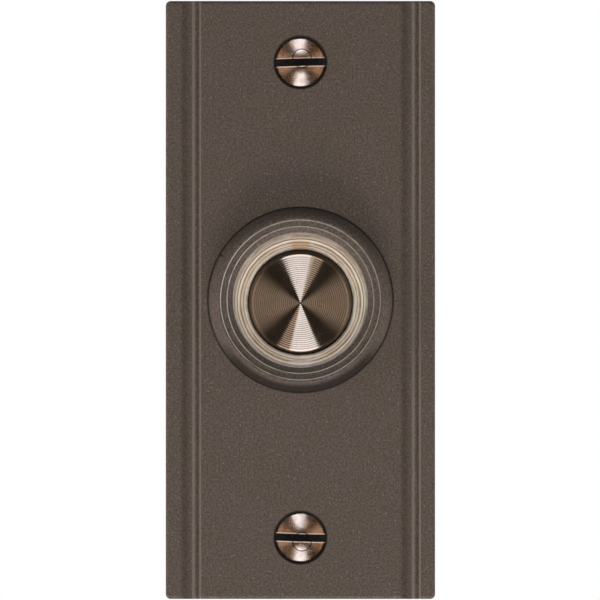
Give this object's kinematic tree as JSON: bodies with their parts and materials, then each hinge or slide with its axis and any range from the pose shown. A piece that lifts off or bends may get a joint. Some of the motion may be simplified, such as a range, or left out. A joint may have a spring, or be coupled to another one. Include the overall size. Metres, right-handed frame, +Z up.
{
  "type": "doorbell push button",
  "caption": "Doorbell push button: bronze-coated cast plate with cove mouldings, domed ring, clear light ring, sprung grooved button, screw terminals and slotted fixing screws.",
  "frame": {"origin": "middle of the wall face, the flat plane of the plate's back rim", "axes": "+Z up along the plate, +X to the right seen from the front, +Y into the wall; the button faces -Y and is pressed along +Y"},
  "size_m": [0.0382, 0.0282, 0.0846],
  "materials": {
    "bronze_coat": "satin, finely speckled dark bronze coat on cast zinc",
    "aged_copper": "aged copper plate on steel, polished on the crown",
    "grooved_bronze": "bronze plate with fine turned rings",
    "clear_acrylic": "clear moulded acrylic",
    "bright_brass": "bright rolled brass",
    "copper": "bright copper",
    "plated_steel": "zinc-plated steel",
    "spring_steel": "drawn spring wire",
    "tinned_copper": "tinned copper wire",
    "board_green": "glass-fibre circuit board with green mask",
    "lamp_lens": "lamp chip with pale lens",
    "chip_ceramic": "chip resistor",
    "chip_black": "moulded diode",
    "black_nylon": "moulded black nylon",
    "white_nylon": "moulded natural nylon"
  },
  "bodies": {
    "housing": {"face_plate": "bronze_coat", "bezel_ring": "bronze_coat", "lock_washer": "plated_steel", "retaining_nut": "plated_steel", "light_ring": "clear_acrylic", "reflector_ring": "bright_brass", "led_board": "board_green", "led_top": "lamp_lens", "led_bottom": "lamp_lens", "board_resistor": "chip_ceramic", "board_diode": "chip_black", "switch_body": "black_nylon", "snap_ring": "plated_steel", "contact_rivet_left": "bright_brass", "contact_rivet_right": "bright_brass", "terminal_plate_left": "bright_brass", "terminal_plate_right": "bright_brass", "clamp_washer_left": "plated_steel", "clamp_washer_right": "plated_steel", "terminal_screw_left": "plated_steel", "terminal_screw_right": "plated_steel", "board_lead_left": "tinned_copper", "board_lead_right": "tinned_copper", "mounting_screw_top": "aged_copper", "mounting_screw_bottom": "aged_copper", "return_spring": "spring_steel"},
    "button": {"button_cap": "grooved_bronze", "plunger": "white_nylon", "contact_bridge": "copper", "plunger_clip": "plated_steel"}
  },
  "joints": [
    {"name": "button_press", "type": "slide", "parent": "housing", "child": "button", "axis": [0, 1, 0], "range_m": [0, 0.0014], "stiffness_N_per_m": 600, "springref_m": -0.002, "deforming": ["return_spring"]}
  ]
}
